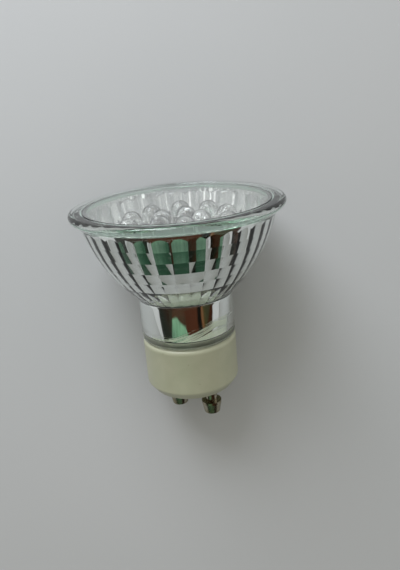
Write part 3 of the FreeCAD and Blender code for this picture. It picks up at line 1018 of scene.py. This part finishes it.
# Walls by how near a direction is to the window's, with a brighter wall above
walls_by_window = (
    (0.0, (0.5, 0.51, 0.51)),
    (0.6, (0.64, 0.65, 0.65)),
    (0.84, (0.76, 0.77, 0.77)),
    (0.93, (1.0, 1.0, 1.0)),
)
upper_wall = (0.95, 0.96, 0.95, 1.0)
upper_wall_span = (-0.3, -0.7)

# What rays meet past the lens: walls in panes of two tones, and glints in the bright panes
crossings_without_lens = 3.0
crossings_with_lens = 4.0
lens_wall_tones = ((0.5, 0.53, 0.52, 1.0), (0.94, 0.97, 0.95, 1.0))
pane_scales = (5.0, 2.0)
pane_span = (0.42, 0.55)
glint_span = (0.45, 0.55)
glint_across = -0.62
glint_spacing = 0.12
glint_width = 0.03
glint_light = (2.6, 2.6, 2.6, 1.0)

# How much of the cloth shows where nothing reflected the ray, and how bright the room is behind glass
cloth_through_glass = 0.1
cloth_past_lens = 0.15
light_behind_glass = 1.4


def window():
    """A square soft light that faces the lamp."""
    lamp = bpy.data.lights.new("window", "AREA")
    lamp.shape = "SQUARE"
    lamp.size = window_size * mm
    lamp.energy = window_power
    lamp.color = window_colour
    made = bpy.data.objects.new("window", lamp)
    made.location = (lamp_middle + window_toward * window_distance) * mm
    made.rotation_euler = window_toward.to_track_quat("Z", "Y").to_euler()
    bpy.context.scene.collection.objects.link(made)


def cloth_seen(tree, across, below, over):
    """The cloth's colour, green between a dark left and a brown right, and 1 where it lies."""
    near = share(tree, over, *inner_lean_span)
    facing = share(tree, over, *outline_lean_span)

    def right_of(border, leaning):
        """1 right of a border, which moves as leaning goes from 0 to 1."""
        place, lean = border
        moved = calculated(tree, "MULTIPLY_ADD", leaning, -lean, across)
        return share(tree, moved, place - border_half_width, place + border_half_width, smooth=True)

    folds = stretched_noise(tree, across, over, fold_scales, layer=0.0)
    lit = ranged(tree, folds, *noise_span, *fold_light)
    green = scaled(tree, ramp(tree, over, green_by_over), lit)
    brown = mixed(
        tree,
        share(tree, over, *near_brown_span, smooth=True),
        ramp(tree, over, far_brown_by_over),
        ramp(tree, across, near_brown_by_across),
    )
    cloth = mixed(tree, right_of(brown_left, near), green, brown)
    cloth = mixed(tree, share(tree, below, *green_below_span, smooth=True), brown, cloth)
    cloth = mixed(tree, right_of(shade_right, near), ramp(tree, over, shade_by_over), cloth)
    inside = calculated(tree, "SUBTRACT", right_of(cloth_left, facing), right_of(cloth_right, facing))
    lean = ranged(tree, over, *cloth_top_lean_span, 0.0, cloth_top_lean)
    low = share(tree, calculated(tree, "ADD", below, lean), *cloth_top_span, smooth=True)
    return cloth, calculated(tree, "MULTIPLY", inside, low)


def walls_seen(tree, direction, below):
    """Pale walls, bright at the window and above."""
    return mixed(
        tree,
        share(tree, below, *upper_wall_span, smooth=True),
        ramp(tree, dot(tree, direction, window_toward), walls_by_window),
        upper_wall,
    )


def walls_past_lens(tree, across, over):
    """Walls in bright and dim panes, with thin glints in the bright ones."""
    panes = stretched_noise(tree, across, over, pane_scales, layer=3.0)
    walls = mixed(tree, share(tree, panes, *pane_span), *lens_wall_tones)
    off_start = calculated(tree, "SUBTRACT", across, glint_across)
    off_glint = calculated(tree, "PINGPONG", off_start, glint_spacing)
    glint = ranged(tree, off_glint, 0.5 * glint_width, glint_width, 1.0, 0.0)
    glint = calculated(tree, "MULTIPLY", glint, share(tree, panes, *glint_span))
    return mixed(tree, glint, walls, glint_light)


def room():
    """A plain pale world. Glass and metal see bright walls, and dark cloth beyond the table's near edge."""
    world = bpy.data.worlds.new("room")
    bpy.context.scene.world = world
    world.use_nodes = True
    tree = world.node_tree
    direction = add_node(tree, "ShaderNodeTexCoord").outputs["Generated"]
    below = dot(tree, direction, image_down)
    over = dot(tree, direction, to_camera)
    uneven = noise(tree, wander_scale, detail=3.0, point=direction)
    uneven = ranged(tree, uneven, *noise_span, -wander, wander)
    across = calculated(tree, "ADD", dot(tree, direction, image_right), uneven)
    cloth, cover = cloth_seen(tree, across, below, over)

    # Light that only passed through glass, or went in and out of the lens, meets the cloth more faintly
    ray = add_node(tree, "ShaderNodeLightPath").outputs
    reflected = between(tree, ray["Glossy Depth"], cloth_through_glass, 1.0)
    past_lens = share(tree, ray["Transmission Depth"], crossings_without_lens, crossings_with_lens)
    strength = between(tree, past_lens, reflected, cloth_past_lens)
    cover = calculated(tree, "MULTIPLY", cover, strength)

    walls = walls_seen(tree, direction, below)
    walls = mixed(tree, past_lens, walls, walls_past_lens(tree, across, over))
    scattered = calculated(tree, "MINIMUM", ray["Diffuse Depth"], 1.0)
    brightness = between(tree, scattered, 1.0, light_behind_glass)
    seen = scaled(tree, mixed(tree, cover, walls, cloth), brightness)
    plain = mixed(tree, ray["Is Camera Ray"], world_light, backdrop)
    shown = mixed(tree, mirrored_ray(tree), plain, seen)
    set_inputs(tree, tree.nodes["Background"], {"Color": shown})


def camera():
    """The photograph's own camera."""
    data = bpy.data.cameras.new("camera")
    data.sensor_width = sensor_mm
    data.lens = focal_px / max(image_width_px, image_height_px) * sensor_mm
    data.clip_start = camera_clip_start * mm
    made = bpy.data.objects.new("camera", data)
    axes = Matrix((image_right, -image_down, to_camera)).transposed()
    made.matrix_world = Matrix.Translation(camera_place) @ axes.to_4x4()
    bpy.context.scene.collection.objects.link(made)
    bpy.context.scene.camera = made


bpy.context.scene.view_settings.view_transform = "Standard"

# Glass, lens and LEDs
epoxy = clear_epoxy()
reflector(pressed_glass(), mirrored_glass())
front_lens(lens_glass())
sealant(clear_silicone())
led_spots = led_places()
for number, place in enumerate(led_spots, 1):
    led_body(number, place, epoxy)
led_chips(led_spots, phosphor())

# Cap, pins and what is inside
cement_ring(cement())
card_sleeve(plastic("sleeve_card", (212, 216, 194), (220, 223, 204), gloss=0.5, matt=0.62))
dress("ceramic_cap", ceramic())
dress("contact_pin", nickel())
dress("led_leads", lead_frame())
dress("led_board", board("white_board", (232, 234, 230), (238, 240, 236)))
dress("driver_board", board("driver_laminate", (46, 92, 58), (58, 108, 68)))
dress("board_adhesive", plastic("white_silicone", (214, 216, 212), (226, 228, 224)))
dress("film_capacitor", plastic("film_case", (150, 34, 24), (164, 42, 30), gloss=0.3, matt=0.42))
dress("smoothing_capacitor", plastic("can_sleeve", (24, 30, 44), (32, 38, 54), gloss=0.3, matt=0.42))
dress(("bleed_resistor", "inrush_resistor"), plastic("resistor_coat", (176, 152, 106), (190, 168, 122)))
dress("rectifier", plastic("diode_case", (22, 22, 22), (34, 34, 34)))
dress("live_wire", plastic("red_wire", (156, 30, 24), (170, 38, 30)))
dress("neutral_wire", plastic("black_wire", (20, 20, 22), (30, 30, 32)))
dress("led_wire", plastic("white_wire", (206, 206, 200), (218, 218, 212)))

table(table_paper())
window()
room()
camera()
